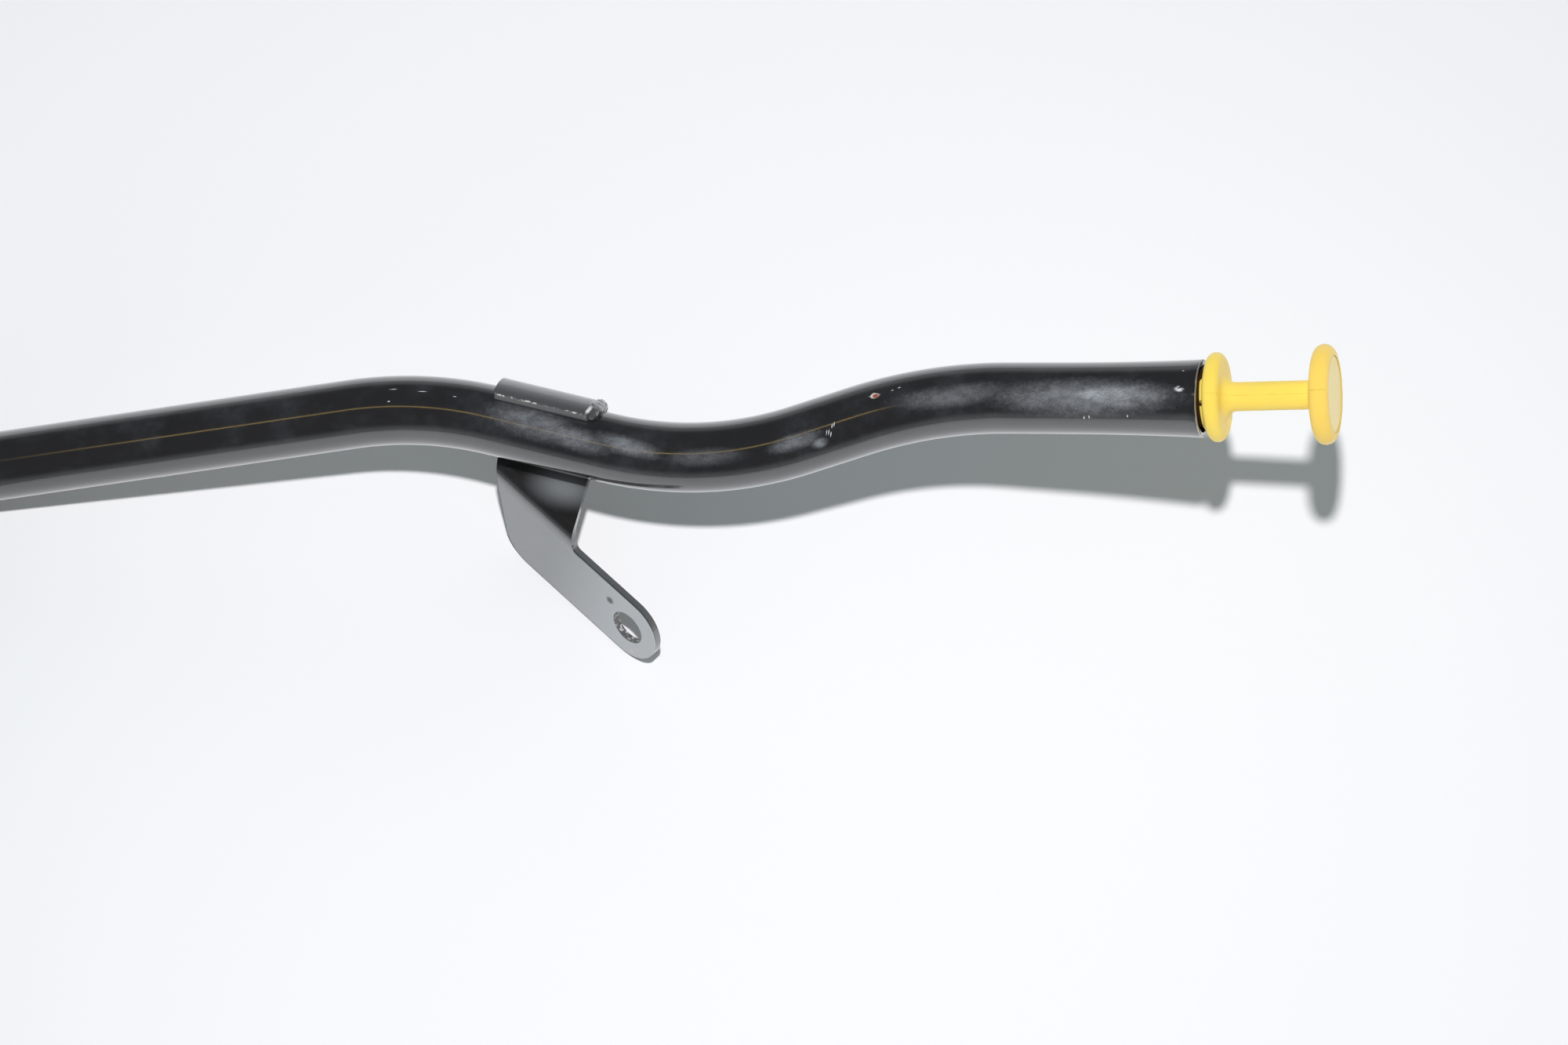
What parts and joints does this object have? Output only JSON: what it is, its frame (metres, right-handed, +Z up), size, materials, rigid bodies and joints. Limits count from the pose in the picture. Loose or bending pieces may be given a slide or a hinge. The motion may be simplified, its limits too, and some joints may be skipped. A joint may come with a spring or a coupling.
{
  "type": "engine oil dipstick with guide tube",
  "caption": "Yellow spool-shaped pull handle and spring steel dipstick, seated in a bent black steel guide tube with a folded sheet-metal bracket, for reading an engine's oil level.",
  "frame": {"origin": "centre of the guide tube's plain lower end, on its axis", "axes": "+X along the length of the tube towards the pull handle, +Z up as the assembly lies, -Y out of the tube's lower end along its axis"},
  "size_m": [0.4368, 0.3232, 0.1067],
  "materials": {
    "black_gloss_paint": "gloss",
    "bracket_paint": "gloss",
    "yellow_plastic": "satin",
    "seal_rubber": "matte",
    "spring_steel": "satin",
    "tip_plastic": "satin"
  },
  "bodies": {
    "tube_assembly": {"guide_tube": "black_gloss_paint", "bracket": "bracket_paint", "bracket_weld": "bracket_paint"},
    "dipstick": {"handle": "yellow_plastic", "plug_seal": "seal_rubber", "dipstick_strip": "spring_steel", "level_tip": "tip_plastic"}
  },
  "joints": [
    {"name": "dipstick_pull", "type": "slide", "parent": "tube_assembly", "child": "dipstick", "axis": [0.9502, -0.1185, 0.2884], "range_m": [0, 0.62], "deforming": ["dipstick_strip"]}
  ]
}
